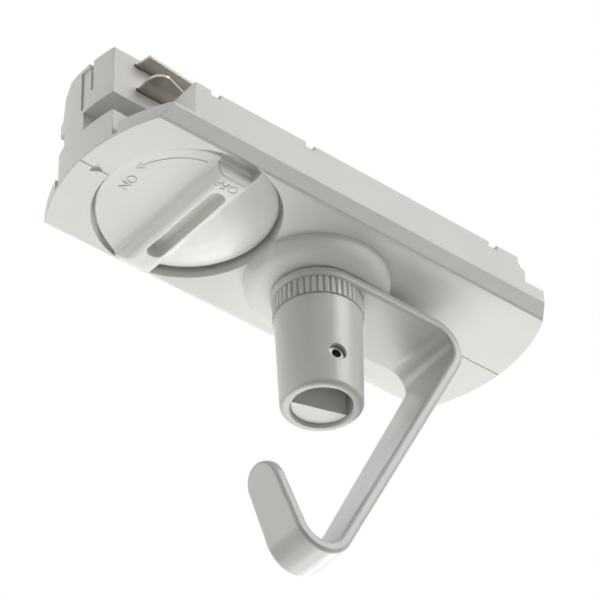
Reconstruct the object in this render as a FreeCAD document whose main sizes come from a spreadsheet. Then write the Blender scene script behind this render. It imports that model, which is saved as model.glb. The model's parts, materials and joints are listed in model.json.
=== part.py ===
import FreeCAD, Part
import math
import os
import re
import Sketcher

# Track light adapter: a plate that locks into a ceiling track, with a dial, a swivelling hook and a cord grip.
# +Z points up to the track, +X from the contact end to the hook end.
# The origin is on the cord grip's axis, in the plane of the plate's underside. Lengths are in millimetres.

doc = FreeCAD.newDocument("TrackLightAdapter")
dims = doc.addObject("Spreadsheet::Sheet", "dims")

# Driving dimensions
sizes = {
    # Plate and housing
    "plateHalf": 17.5,
    "endRadius": 31.5,
    "leftApex": -48.4,
    "rightApex": 41.3,
    "lipHeight": 2.6,
    "flangeHeight": 4.6,
    "railHeight": 8.1,
    "railStart": -39.0,
    "railEnd": 31.0,
    "floorThickness": 2.4,
    "wallThickness": 1.6,
    "bevelInset": 2.1,
    "bevelHeight": 2.0,
    "seamWidth": 0.3,
    "seamDepth": 0.12,
    "markerLength": 1.9,
    "markerHalf": 1.1,
    "markerDepth": 0.5,
    "markerGap": 1.2,
    "sillLength": 0.8,
    "sillHeight": 7.2,
    # Raised block at the contact end
    "blockHalf": 7.3,
    "blockHeight": 6.1,
    "rimNotchWidth": 1.2,
    "rimNotchDepth": 2.6,
    "rimNotchSill": 0.5,
    # Dial recess and its floor
    "dialX": -27.2,
    "recessMargin": 1.9,
    "recessDepth": 3.6,
    "dishHeight": 5.2,
    # Round boss under the plate, with the threaded nipple
    "bossRadius": 12.3,
    "bossHeight": 3.1,
    "bossRound": 2.3,
    "seatRadius": 8.6,
    "seatHeight": 4.2,
    "nippleRadius": 5.0,
    "nippleBore": 3.6,
    "nippleBottom": -13.4,
    "nippleTop": 7.7,
    "washerRadius": 7.6,
    "washerThickness": 0.5,
    "lockNutFlats": 14.0,
    "lockNutHeight": 2.4,
    # Top cover
    "coverThickness": 1.6,
    "coverInset": 0.25,
    "coverNotchWidth": 1.9,
    "coverNotchDepth": 1.1,
    "coverNotchHeight": 1.0,
    "firstNotch": 3.4,
    "middleNotch": 11.0,
    "lastNotch": 7.0,
    "guideStart": 14.0,
    "guideEnd": 26.0,
    "guideHeight": 2.8,
    "postX": 26.2,
    "postY": 11.6,
    "postRadius": 2.7,
    "screwRadius": 1.1,
    "screwHeadRadius": 2.1,
    "screwHeadHeight": 1.1,
    "screwLength": 6.4,
    # Contact tower
    "towerTop": 20.0,
    "towerEnd": -31.9,
    "neckNear": -0.5,
    "neckFar": 5.4,
    "towerShelf": 10.0,
    "footStep": 0.7,
    "neckRise": 1.2,
    "shelfBevel": 0.3,
    "farStep": 12.8,
    "farInset": 0.4,
    "crownInset": 1.2,
    "crownHeight": 13.2,
    "shoulderDrop": 2.3,
    "shoulderInset": 1.9,
    "crownTopInset": 3.8,
    "grooveFoot": 13.6,
    "grooveStart": -2.8,
    "grooveWidth": 1.0,
    "grooveDepth": 0.7,
    "columnFar": 0.3,
    "columnDepth": 0.35,
    "columnTop": 19.2,
    "columnFoot": 10.8,
    "cavityStart": -45.9,
    "cavityEnd": -35.3,
    "cavityNear": -5.9,
    "cavityFar": 4.7,
    "cavityWaist": 16.0,
    "cavityFarTop": 3.4,
    # Sliding carrier and its two blades
    "slideTravel": 5.2,
    "slideGap": 0.3,
    "slideWidth": 4.7,
    "slideTopWidth": 3.4,
    "stemWidth": 1.5,
    "armHeight": 1.1,
    "armGap": 0.2,
    "bladeThickness": 0.5,
    "bladeGap": 0.1,
    "forkWall": 1.25,
    "upperBladeBevel": 0.5,
    "upperBladeSlant": 0.8,
    "lowerBladeRound": 2.4,
    "lowerBladeSlant": 2.3,
    "lowerBladeRoot": 2.5,
    "upperBladeZ": 18.15,
    "lowerBladeZ": 12.95,
    "upperBladeStart": -43.2,
    "upperBladeEnd": -32.6,
    "upperBladeReach": 10.4,
    "upperBladeTail": -3.0,
    "lowerBladeStart": -42.8,
    "lowerBladeEnd": -33.4,
    "lowerBladeReach": 12.6,
    "lowerBladeTail": -2.2,
    # Dial, shaft and locking tongue
    "dialGap": 0.7,
    "dialRimZ": 1.67,
    "dialCrest": 2.5,
    "dialBack": 3.3,
    "barNear": -2.2,
    "barFoot": -4.5,
    "barFar": 4.0,
    "barFootDepth": 2.4,
    "barTop": 1.9,
    "barOverhang": 0.4,
    "barCutFloor": 2.6,
    "scoopDrop": 0.1,
    "barCut": 12.3,
    "slotLength": 20.0,
    "slotWidth": 2.1,
    "slotDepth": 2.0,
    "shaftRadius": 3.0,
    "shaftNeckRadius": 2.0,
    "shaftSocket": 2.2,
    "camRadius": 5.6,
    "camHeight": 1.2,
    "camGap": 0.2,
    "camFlat": 0.3,
    "pegRadius": 1.0,
    "pegPlay": 0.15,
    "shaftScrewDepth": 3.0,
    "shaftHeadRadius": 2.6,
    "shaftSlotHalf": 0.3,
    "shaftEndRadius": 1.6,
    "tongueZ": 12.0,
    "tongueThickness": 2.0,
    "tongueReach": 12.5,
    "tongueHalf": 3.2,
    "tongueHub": 3.8,
    "runningGap": 0.05,
    # Detent leaf spring
    "leafThickness": 0.4,
    "leafHalf": 7.6,
    "leafPostY": 6.4,
    "leafPostSize": 1.6,
    "leafHeight": 1.6,
    # Hook
    "stripThickness": 2.0,
    "eyeRadius": 7.9,
    "armLength": 20.1,
    "bendRadius": 4.4,
    "legAngle": 61.7,
    "legLength": 50.0,
    "heelRadius": 4.6,
    "tipAngle": 66.0,
    "tipLength": 8.5,
    "tipRadius": 3.7,
    "stripBevel": 0.4,
    "hookTurn": -2.3,
    # Knurled nut and cord grip
    "nutRadius": 7.6,
    "nutHeight": 3.3,
    "knurlCount": 44,
    "knurlDepth": 0.35,
    "knurlWidth": 0.5,
    "gripTopRadius": 7.35,
    "gripBottomRadius": 6.85,
    "gripLength": 18.1,
    "gripRound": 0.9,
    "clampScrewDrop": 11.6,
    "clampScrewRadius": 1.45,
    "clampScrewAngle": -106.0,
    "clampScrewTip": 2.0,
    "clampScrewEnd": 6.3,
    "clampSocketRadius": 0.8,
    "clampSocketDepth": 1.4,
    "gripMouthBevel": 0.3,
    "jawFlat": 1.0,
    "jawTop": -15.0,
    "jawRecess": 0.6,
    # Terminals
    "terminalX": 13.4,
    "terminalLength": 7.0,
    "terminalWidth": 4.8,
    "terminalHeight": 4.4,
    "terminalPitch": 8.0,
    "wireBore": 1.1,
    "wireHeight": 2.0,
    "screwFoot": 2.6,
    "screwSlotHalf": 0.25,
    "screwSlotDepth": 0.5,
    "crossReach": 1.4,
    "crossHalf": 0.25,
    "crossDepth": 0.6,
    "terminalScrewRadius": 1.0,
    "terminalHeadRadius": 1.7,
    "terminalHeadHeight": 0.9,
    # Earth spring
    "earthHeight": 1.6,
    "earthZ": 7.7,
    "earthThickness": 0.4,
    "earthStart": -46.2,
    "earthEnd": -40.4,
    "earthBow": 1.5,
    "earthFlat": 1.2,
    "earthRun": 1.0,
    "earthTuck": 0.2,
}

for row, (alias, value) in enumerate(sizes.items(), start=1):
    dims.set("A%d" % row, alias)
    dims.set("B%d" % row, str(value))
    dims.setAlias("B%d" % row, alias)
doc.recompute()


class Named:
    """Gives the sheet's sizes as attributes."""

    def __getattr__(self, alias):
        return float(dims.get(alias))


size = Named()
functionNames = ("sqrt", "sin", "cos", "tan", "min", "max")
recessRadius = size.plateHalf - size.recessMargin
recessText = "(plateHalf - recessMargin)"
dialRadius = recessRadius - size.dialGap
dialText = "(plateHalf - recessMargin - dialGap)"


def linked(text):
    # Turns the size names in a formula into references to the sheet's cells
    def reference(match):
        word = match.group(0)
        return word if word in functionNames else "dims." + word
    return re.sub(r"[A-Za-z]\w*", reference, text)


def bind(target, prop, text):
    target.setExpression(prop, linked(text))


# Simple solids whose sizes and places follow the sheet
def makeBox(name, x0, x1, y0, y1, z0, z1):
    solid = doc.addObject("Part::Box", name)
    bind(solid, "Length", "(%s) - (%s)" % (x1, x0))
    bind(solid, "Width", "(%s) - (%s)" % (y1, y0))
    bind(solid, "Height", "(%s) - (%s)" % (z1, z0))
    bind(solid, "Placement.Base.x", x0)
    bind(solid, "Placement.Base.y", y0)
    bind(solid, "Placement.Base.z", z0)
    return solid


def makeRod(name, radius, z0, z1, x="0", y="0"):
    solid = doc.addObject("Part::Cylinder", name)
    bind(solid, "Radius", radius)
    bind(solid, "Height", "(%s) - (%s)" % (z1, z0))
    bind(solid, "Placement.Base.x", x)
    bind(solid, "Placement.Base.y", y)
    bind(solid, "Placement.Base.z", z0)
    return solid


def fuse(name, parts):
    joined = doc.addObject("Part::MultiFuse", name)
    joined.Shapes = parts
    joined.Refine = True
    return joined


def cut(name, base, tools):
    tool = tools[0] if len(tools) == 1 else fuse(name + "_tools", tools)
    result = doc.addObject("Part::Cut", name)
    result.Base = base
    result.Tool = tool
    result.Refine = True
    return result


# Bodies, sketches and features
def makeBody(name):
    return doc.addObject("PartDesign::Body", name)


def originPlane(body, role):
    for feature in body.Origin.OriginFeatures:
        if feature.Role == role:
            return feature
    raise ValueError(role)


def makeSketch(body, name, role="XY_Plane", height="0"):
    sketch = body.newObject("Sketcher::SketchObject", name)
    sketch.AttachmentSupport = [(originPlane(body, role), "")]
    sketch.MapMode = "FlatFace"
    if height != "0":
        bind(sketch, "AttachmentOffset.Base.z", height)
    return sketch


def placeVertex(sketch, geometry, end, xText, yText, x, y):
    # Ties one point of the outline to its two coordinates
    if xText == "0":
        sketch.addConstraint(Sketcher.Constraint("PointOnObject", geometry, end, -2))
    else:
        index = sketch.addConstraint(Sketcher.Constraint("DistanceX", -1, 1, geometry, end, x))
        bind(sketch, "Constraints[%d]" % index, xText)
    if yText == "0":
        sketch.addConstraint(Sketcher.Constraint("PointOnObject", geometry, end, -1))
    else:
        index = sketch.addConstraint(Sketcher.Constraint("DistanceY", -1, 1, geometry, end, y))
        bind(sketch, "Constraints[%d]" % index, yText)


# An arc this close to a half turn keeps its centre midway between its ends
halfTurnMargin = 0.001


def drawOutline(sketch, corners):
    # corners: (x formula, y formula, x, y) with an optional arc to the next corner: radius formula, radius,
    # where a positive radius turns left and a negative one turns right
    count = len(corners)
    ends = []
    for i, corner in enumerate(corners):
        nextCorner = corners[(i + 1) % count]
        start = FreeCAD.Vector(corner[2], corner[3], 0)
        stop = FreeCAD.Vector(nextCorner[2], nextCorner[3], 0)
        if len(corner) == 4:
            geometry = sketch.addGeometry(Part.LineSegment(start, stop))
            ends.append((geometry, 1, 2))
            continue
        radius = corner[5]
        chord = stop - start
        half = chord.Length / 2
        side = FreeCAD.Vector(-chord.y, chord.x, 0).normalize()
        rise = math.sqrt(max(radius * radius - half * half, 0))
        turn = 1 if radius > 0 else -1
        centre = (start + stop) * 0.5 + side * (rise * turn)
        angles = [math.atan2(p.y - centre.y, p.x - centre.x) for p in (start, stop)]
        circle = Part.Circle(centre, FreeCAD.Vector(0, 0, 1), abs(radius))
        if turn > 0:
            geometry = sketch.addGeometry(Part.ArcOfCircle(circle, angles[0], angles[1]))
            ends.append((geometry, 1, 2))
        else:
            geometry = sketch.addGeometry(Part.ArcOfCircle(circle, angles[1], angles[0]))
            ends.append((geometry, 2, 1))
        if abs(radius) - half < halfTurnMargin:
            sketch.addConstraint(Sketcher.Constraint("Symmetric", geometry, 1, geometry, 2, geometry, 3))
            continue
        index = sketch.addConstraint(Sketcher.Constraint("Radius", geometry, abs(radius)))
        bind(sketch, "Constraints[%d]" % index, corner[4])
    for i in range(count):
        follower = ends[(i + 1) % count]
        sketch.addConstraint(Sketcher.Constraint("Coincident", ends[i][0], ends[i][2], follower[0], follower[1]))
    for i, corner in enumerate(corners):
        placeVertex(sketch, ends[i][0], ends[i][1], corner[0], corner[1], corner[2], corner[3])


def drawCircle(sketch, radiusText, radius, xText="0", yText="0", x=0.0, y=0.0):
    circle = Part.Circle(FreeCAD.Vector(x, y, 0), FreeCAD.Vector(0, 0, 1), radius)
    geometry = sketch.addGeometry(circle)
    placeVertex(sketch, geometry, 3, xText, yText, x, y)
    index = sketch.addConstraint(Sketcher.Constraint("Radius", geometry, radius))
    bind(sketch, "Constraints[%d]" % index, radiusText)


def rectangle(x0Text, x1Text, y0Text, y1Text, x0, x1, y0, y1):
    return [(x0Text, y0Text, x0, y0), (x1Text, y0Text, x1, y0),
            (x1Text, y1Text, x1, y1), (x0Text, y1Text, x0, y1)]


def pad(body, name, sketch, lengthText, middle=False, reverse=False):
    feature = body.newObject("PartDesign::Pad", name)
    feature.Profile = sketch
    bind(feature, "Length", lengthText)
    if middle:
        feature.SideType = "Symmetric"
    feature.Reversed = reverse
    return feature


def pocket(body, name, sketch, lengthText, middle=False, reverse=False):
    feature = body.newObject("PartDesign::Pocket", name)
    feature.Profile = sketch
    bind(feature, "Length", lengthText)
    if middle:
        feature.SideType = "Symmetric"
    feature.Reversed = reverse
    return feature


def edgesWhere(shape, test):
    return ["Edge%d" % (i + 1) for i, edge in enumerate(shape.Edges) if test(edge)]


def roundEdges(body, name, base, radiusText, test):
    doc.recompute()
    feature = body.newObject("PartDesign::Fillet", name)
    feature.Base = (base, edgesWhere(base.Shape, test))
    bind(feature, "Radius", radiusText)
    return feature


# Length of the end arcs' rise over the plate's width
endRise = size.endRadius - math.sqrt(size.endRadius ** 2 - size.plateHalf ** 2)
endRiseText = "(endRadius - sqrt(endRadius * endRadius - plateHalf * plateHalf))"
blockRise = size.endRadius - math.sqrt(size.endRadius ** 2 - size.blockHalf ** 2)
blockRiseText = "(endRadius - sqrt(endRadius * endRadius - blockHalf * blockHalf))"


def plateOutline(startText="", start=None):
    # The plate's plan: straight long sides and arched ends; with a start, the left end is straight there
    right = size.rightApex - endRise
    left = size.leftApex + endRise
    half = size.plateHalf
    rightText = "rightApex - " + endRiseText
    leftText = "leftApex + " + endRiseText
    if start is not None:
        left = start
        leftText = startText
    corners = [(leftText, "-plateHalf", left, -half),
               (rightText, "-plateHalf", right, -half, "endRadius", size.endRadius),
               (rightText, "plateHalf", right, half)]
    last = (leftText, "plateHalf", left, half)
    corners.append(last if start is not None else last + ("endRadius", size.endRadius))
    return corners


def makeBaseShell():
    # Moulded plate with low walls, a dish for the dial, a boss for the nipple and an open top
    body = makeBody("base_shell")
    lip = makeSketch(body, "lip_outline")
    drawOutline(lip, plateOutline())
    pad(body, "lip_pad", lip, "lipHeight")
    flange = makeSketch(body, "flange_outline")
    drawOutline(flange, plateOutline("railStart", size.railStart))
    pad(body, "flange_pad", flange, "flangeHeight")
    rail = makeSketch(body, "rail_outline")
    drawOutline(rail, rectangle("railStart", "railEnd", "-plateHalf", "plateHalf",
                                size.railStart, size.railEnd, -size.plateHalf, size.plateHalf))
    pad(body, "rail_pad", rail, "railHeight")
    sill = makeSketch(body, "sill_outline")
    drawOutline(sill, rectangle("railEnd - wallThickness", "railEnd + sillLength", "-plateHalf", "plateHalf",
                                size.railEnd - size.wallThickness, size.railEnd + size.sillLength,
                                -size.plateHalf, size.plateHalf))
    pad(body, "sill_pad", sill, "sillHeight")
    hollow = makeSketch(body, "hollow_outline", height="railHeight")
    drawOutline(hollow, rectangle("railStart + wallThickness", "railEnd - wallThickness",
                                  "wallThickness - plateHalf", "plateHalf - wallThickness",
                                  size.railStart + size.wallThickness, size.railEnd - size.wallThickness,
                                  size.wallThickness - size.plateHalf, size.plateHalf - size.wallThickness))
    pocket(body, "hollow", hollow, "railHeight - floorThickness")
    block = makeSketch(body, "block_outline")
    blockLeft = size.leftApex + blockRise
    blockLeftText = "leftApex + " + blockRiseText
    drawOutline(block, [(blockLeftText, "-blockHalf", blockLeft, -size.blockHalf),
                        ("railStart", "-blockHalf", size.railStart, -size.blockHalf),
                        ("railStart", "blockHalf", size.railStart, size.blockHalf),
                        (blockLeftText, "blockHalf", blockLeft, size.blockHalf, "endRadius", size.endRadius)])
    pad(body, "block_pad", block, "blockHeight")
    dish = makeSketch(body, "dish_outline", height="floorThickness / 2")
    drawCircle(dish, recessText + " + wallThickness", recessRadius + size.wallThickness, "dialX", "0",
               size.dialX, 0.0)
    pad(body, "dish_pad", dish, "dishHeight - floorThickness / 2")
    seat = makeSketch(body, "seat_outline", height="floorThickness / 2")
    drawCircle(seat, "seatRadius", size.seatRadius)
    pad(body, "seat_pad", seat, "seatHeight - floorThickness / 2")
    for side, sign in (("near", "-"), ("far", "")):
        post = makeSketch(body, "post_outline_" + side, height="floorThickness / 2")
        y = size.postY if sign == "" else -size.postY
        drawCircle(post, "postRadius", size.postRadius, "postX", sign + "postY", size.postX, y)
        pad(body, "post_pad_" + side, post, "railHeight - floorThickness / 2")
        pilot = makeSketch(body, "pilot_outline_" + side, height="railHeight")
        drawCircle(pilot, "screwRadius", size.screwRadius, "postX", sign + "postY", size.postX, y)
        pocket(body, "pilot_" + side, pilot, "screwLength - coverThickness + screwHeadHeight")
        leafPost = makeSketch(body, "leaf_post_outline_" + side, height="floorThickness")
        x0 = size.dialX + size.camRadius + size.camGap + size.leafThickness
        x0Text = "dialX + camRadius + camGap + leafThickness"
        postLow = size.leafPostY - size.leafPostSize / 2
        postHigh = size.leafPostY + size.leafPostSize / 2
        lowText = "leafPostY - leafPostSize / 2"
        highText = "leafPostY + leafPostSize / 2"
        if sign == "-":
            postLow, postHigh = -postHigh, -postLow
            lowText, highText = "-leafPostY - leafPostSize / 2", "leafPostSize / 2 - leafPostY"
        drawOutline(leafPost, rectangle(x0Text, x0Text + " + leafPostSize", lowText, highText,
                                        x0, x0 + size.leafPostSize, postLow, postHigh))
        pad(body, "leaf_post_pad_" + side, leafPost, "dishHeight + camGap + leafHeight - floorThickness")
    # Long lower edges cut away to a bevel
    for side, sign in (("near", -1), ("far", 1)):
        bevel = makeSketch(body, "bevel_outline_" + side, "YZ_Plane")
        mark = "-" if sign < 0 else ""
        inner = "bevelInset - plateHalf" if sign < 0 else "plateHalf - bevelInset"
        outer = mark + "plateHalf * 1.2"
        drawOutline(bevel, [(inner, "0", sign * (size.plateHalf - size.bevelInset), 0.0),
                            (inner, "-bevelHeight", sign * (size.plateHalf - size.bevelInset), -size.bevelHeight),
                            (outer, "-bevelHeight", sign * size.plateHalf * 1.2, -size.bevelHeight),
                            (outer, "bevelHeight", sign * size.plateHalf * 1.2, size.bevelHeight),
                            (mark + "plateHalf", "bevelHeight", sign * size.plateHalf, size.bevelHeight)])
        pocket(body, "bevel_" + side, bevel, "2 * (rightApex - leftApex)", middle=True)
    # Fine seam along the middle of the underside
    seam = makeSketch(body, "seam_outline")
    drawOutline(seam, rectangle("leftApex - seamWidth", "rightApex + seamWidth", "-seamWidth / 2",
                                "seamWidth / 2", size.leftApex - size.seamWidth,
                                size.rightApex + size.seamWidth, -size.seamWidth / 2, size.seamWidth / 2))
    pocket(body, "seam", seam, "seamDepth", reverse=True)
    # Round boss with a soft lower edge
    boss = makeSketch(body, "boss_outline", height="seamDepth")
    drawCircle(boss, "bossRadius", size.bossRadius)
    bossPad = pad(body, "boss_pad", boss, "bossHeight + seamDepth", reverse=True)
    roundEdges(body, "boss_round", bossPad, "bossRound",
               lambda e: e.BoundBox.ZMax < -size.bossHeight * 0.9)
    # Recess for the dial, with the hole for its shaft
    recess = makeSketch(body, "recess_outline", height="-2 * bossHeight")
    drawCircle(recess, recessText, recessRadius, "dialX", "0", size.dialX, 0.0)
    pocket(body, "recess", recess, "recessDepth + 2 * bossHeight", reverse=True)
    bore = makeSketch(body, "shaft_bore_outline")
    drawCircle(bore, "shaftRadius + runningGap", size.shaftRadius + size.runningGap, "dialX", "0", size.dialX, 0.0)
    pocket(body, "shaft_bore", bore, "2 * dishHeight", reverse=True)
    hole = makeSketch(body, "nipple_hole_outline")
    drawCircle(hole, "nippleRadius + runningGap", size.nippleRadius + size.runningGap)
    pocket(body, "nipple_hole", hole, "4 * seatHeight", middle=True)
    # Pointer mark on the seam line, beside the dial
    marker = makeSketch(body, "marker_outline")
    tip = size.dialX - recessRadius - size.markerGap
    tipText = "dialX - " + recessText + " - markerGap"
    drawOutline(marker, [(tipText, "0", tip, 0.0),
                         (tipText + " - markerLength", "markerHalf", tip - size.markerLength, size.markerHalf),
                         (tipText + " - markerLength", "-markerHalf", tip - size.markerLength, -size.markerHalf)])
    pocket(body, "marker", marker, "markerDepth", reverse=True)
    # Slots in the rim, beside the raised block
    for side, sign in (("near", -1), ("far", 1)):
        notch = makeSketch(body, "rim_notch_outline_" + side, height="rimNotchSill")
        low, high = size.blockHalf, size.blockHalf + size.rimNotchWidth
        lowText, highText = "blockHalf", "blockHalf + rimNotchWidth"
        if sign < 0:
            low, high = -high, -low
            lowText, highText = "-blockHalf - rimNotchWidth", "-blockHalf"
        drawOutline(notch, rectangle("leftApex", "leftApex + rimNotchDepth + " + blockRiseText, lowText, highText,
                                     size.leftApex, size.leftApex + size.rimNotchDepth + blockRise, low, high))
        pocket(body, "rim_notch_" + side, notch, "2 * lipHeight", reverse=True)
    return body


def makeTopCover():
    # Flat lid on the walls, with clip notches, screw holes and a guide block that enters the track
    lidTop = "railHeight + coverThickness"
    plate = makeBox("cover_plate", "railStart + coverInset", "railEnd - coverInset", "coverInset - plateHalf",
                    "plateHalf - coverInset", "railHeight", lidTop)
    guide = makeBox("cover_guide", "guideStart", "guideEnd", "-blockHalf", "blockHalf", lidTop,
                    lidTop + " + guideHeight")
    joined = fuse("cover_solid", [plate, guide])
    tools = [makeBox("guide_hollow", "guideStart + wallThickness", "guideEnd - wallThickness",
                     "wallThickness - blockHalf", "blockHalf - wallThickness", "railHeight",
                     lidTop + " + guideHeight - wallThickness"),
             makeRod("cover_shaft_hole", "shaftNeckRadius + slideGap", "0", "2 * railHeight", "dialX", "0"),
             makeBox("cover_slide_slot", "cavityStart", "cavityEnd", "cavityNear", "cavityFar", "0",
                     "2 * railHeight")]
    for side, sign in (("near", "-"), ("far", "")):
        y = sign + "postY"
        tools.append(makeRod("cover_screw_hole_" + side, "screwRadius + slideGap", "0", "2 * railHeight",
                             "postX", y))
        tools.append(makeRod("cover_screw_sink_" + side, "screwHeadRadius + slideGap", lidTop + " - screwHeadHeight",
                             "2 * railHeight", "postX", y))
        for number, x in enumerate(("railStart + firstNotch", "dialX + middleNotch", "railEnd - lastNotch")):
            low, high = ("plateHalf - coverNotchDepth", "2 * plateHalf")
            if sign == "-":
                low, high = ("-2 * plateHalf", "coverNotchDepth - plateHalf")
            tools.append(makeBox("cover_notch_%s_%d" % (side, number), x, x + " + coverNotchWidth", low, high,
                                 lidTop + " - coverNotchHeight", "2 * railHeight"))
    return cut("top_cover", joined, tools)


def makeContactTower():
    # Upright moulded block that enters the track; its far side steps inwards, so it fits one way round
    body = makeBody("contact_tower")
    section = makeSketch(body, "tower_section", "YZ_Plane", height="leftApex")
    top, shelf, foot = size.towerTop, size.towerShelf, size.blockHeight
    half = size.blockHalf
    drawOutline(section, [
        ("neckNear", "blockHeight", size.neckNear, foot),
        ("blockHalf", "blockHeight", half, foot),
        ("blockHalf", "blockHeight + footStep", half, foot + size.footStep),
        ("neckFar", "blockHeight + neckRise", size.neckFar, foot + size.neckRise),
        ("neckFar", "towerShelf", size.neckFar, shelf),
        ("blockHalf - shelfBevel", "towerShelf + shelfBevel", half - size.shelfBevel, shelf + size.shelfBevel),
        ("blockHalf - farInset", "farStep", half - size.farInset, size.farStep),
        ("blockHalf - crownInset", "crownHeight", half - size.crownInset, size.crownHeight),
        ("blockHalf - shoulderInset", "towerTop - shoulderDrop", half - size.shoulderInset,
         top - size.shoulderDrop),
        ("blockHalf - crownTopInset", "towerTop", half - size.crownTopInset, top),
        ("-blockHalf", "towerTop", -half, top),
        ("-blockHalf", "towerShelf", -half, shelf),
        ("neckNear", "towerShelf", size.neckNear, shelf)])
    pad(body, "tower_pad", section, "towerEnd - leftApex")
    # End wall follows the plate's arched end
    rim = makeSketch(body, "tower_rim", height="0")
    reach = size.blockHalf + size.sillLength
    reachText = "(blockHalf + sillLength)"
    rise = size.endRadius - math.sqrt(size.endRadius ** 2 - reach ** 2)
    riseText = "(endRadius - sqrt(endRadius * endRadius - " + reachText + " * " + reachText + "))"
    drawOutline(rim, [("leftApex - sillLength", "-" + reachText, size.leftApex - size.sillLength, -reach),
                      ("leftApex + " + riseText, "-" + reachText, size.leftApex + rise, -reach,
                       "endRadius", -size.endRadius),
                      ("leftApex + " + riseText, reachText, size.leftApex + rise, reach),
                      ("leftApex - sillLength", reachText, size.leftApex - size.sillLength, reach)])
    pocket(body, "tower_end", rim, "2 * towerTop", reverse=True)
    # Narrow groove beside the raised column on the end wall
    for name, near, far, low, high, depth in (
            ("groove", "grooveStart", "grooveStart + grooveWidth", "grooveFoot", "2 * towerTop", "grooveDepth"),
            ("column", "grooveStart + grooveWidth", "columnFar", "columnFoot", "columnTop", "columnDepth")):
        mark = makeSketch(body, name + "_outline", "YZ_Plane", height="leftApex")
        values = {"grooveStart": size.grooveStart, "grooveStart + grooveWidth": size.grooveStart + size.grooveWidth,
                  "columnFar": size.columnFar, "grooveFoot": size.grooveFoot, "2 * towerTop": 2 * size.towerTop,
                  "columnFoot": size.columnFoot, "columnTop": size.columnTop}
        drawOutline(mark, rectangle(near, far, low, high, values[near], values[far], values[low], values[high]))
        pocket(body, name, mark, depth, reverse=True)
    # The foot ends where the cover starts
    under = makeSketch(body, "tower_under", "XZ_Plane")
    drawOutline(under, rectangle("railStart - slideGap", "towerEnd + sillLength", "0", "towerShelf",
                                 size.railStart - size.slideGap, size.towerEnd + size.sillLength, 0.0,
                                 size.towerShelf))
    pocket(body, "tower_underside", under, "6 * blockHalf", middle=True)
    # Cavity for the carrier, wider below than above
    bottom = makeSketch(body, "cavity_floor", height="towerShelf + slideGap")
    drawOutline(bottom, rectangle("cavityStart", "cavityEnd", "cavityNear", "cavityFar", size.cavityStart,
                                  size.cavityEnd, size.cavityNear, size.cavityFar))
    pocket(body, "cavity", bottom, "cavityWaist - towerShelf - slideGap", reverse=True)
    upper = makeSketch(body, "cavity_upper", height="cavityWaist - slideGap")
    drawOutline(upper, rectangle("cavityStart", "cavityEnd", "cavityNear", "cavityFarTop", size.cavityStart,
                                 size.cavityEnd, size.cavityNear, size.cavityFarTop))
    pocket(body, "cavity_top", upper, "upperBladeZ + bladeGap - cavityWaist + slideGap", reverse=True)
    passage = makeSketch(body, "stem_passage", height="0")
    drawOutline(passage, rectangle("railStart + slideGap", "cavityEnd", "cavityNear", "cavityFar",
                                   size.railStart + size.slideGap, size.cavityEnd, size.cavityNear,
                                   size.cavityFar))
    pocket(body, "stem_opening", passage, "towerShelf + stemWidth", reverse=True)
    # Level slots for the two blades, open through the near wall
    for name, z, start, end, tail in (("upper", "upperBladeZ", "upperBladeStart", "upperBladeEnd", "upperBladeTail"),
                                      ("lower", "lowerBladeZ", "lowerBladeStart", "lowerBladeEnd", "lowerBladeTail")):
        slot = makeSketch(body, name + "_blade_slot", height=z + " - bladeGap")
        x0 = getattr(size, start) - size.slideGap
        x1 = getattr(size, end) + size.slideGap
        y1 = getattr(size, tail) + size.slideTravel + size.slideGap
        drawOutline(slot, rectangle(start + " - slideGap", end + " + slideGap", "-2 * blockHalf",
                                    tail + " + slideTravel + slideGap", x0, x1, -2 * half, y1))
        pocket(body, name + "_blade_opening", slot, "bladeThickness + 2 * bladeGap", reverse=True)
    return body


def makeContactSlide():
    # Plastic carrier for the blades, with a stem and a fork that the dial's peg drives
    near = "cavityNear + slideGap"
    block = makeBox("slide_block", "cavityStart + slideGap", "cavityEnd - slideGap", near,
                    near + " + slideWidth", "towerShelf + 2 * slideGap", "cavityWaist - slideGap")
    crown = makeBox("slide_crown", "cavityStart + slideGap", "cavityEnd - slideGap", near,
                    near + " + slideTopWidth", "cavityWaist - slideGap", "upperBladeZ")
    armTop = "dishHeight + camGap + camHeight + armGap + armHeight"
    armFoot = "dishHeight + camGap + camHeight + armGap"
    stem = makeBox("slide_stem", "cavityEnd - slideGap - stemWidth", "cavityEnd - slideGap", near,
                   near + " + slideWidth", armFoot, "towerShelf + 2 * slideGap")
    arm = makeBox("slide_arm", "cavityEnd - slideGap - stemWidth", "dialX - shaftNeckRadius - 2 * armGap",
                  "-slideTravel / 2 - pegRadius - pegPlay - forkWall", "-slideTravel / 2 + pegRadius + pegPlay + forkWall",
                  armFoot, armTop)
    joined = fuse("slide_solid", [block, crown, stem, arm])
    fork = makeBox("slide_fork", "dialX - slideTravel / sqrt(2) - pegRadius - 2 * pegPlay", "dialX",
                   "-slideTravel / 2 - pegRadius - pegPlay", "-slideTravel / 2 + pegRadius + pegPlay", "0",
                   "railHeight")
    slit = makeBox("slide_slit", "cavityStart", "cavityEnd", "-2 * blockHalf", "lowerBladeTail", "lowerBladeZ",
                   "lowerBladeZ + bladeThickness")
    return cut("contact_slide", joined, [fork, slit])


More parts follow.
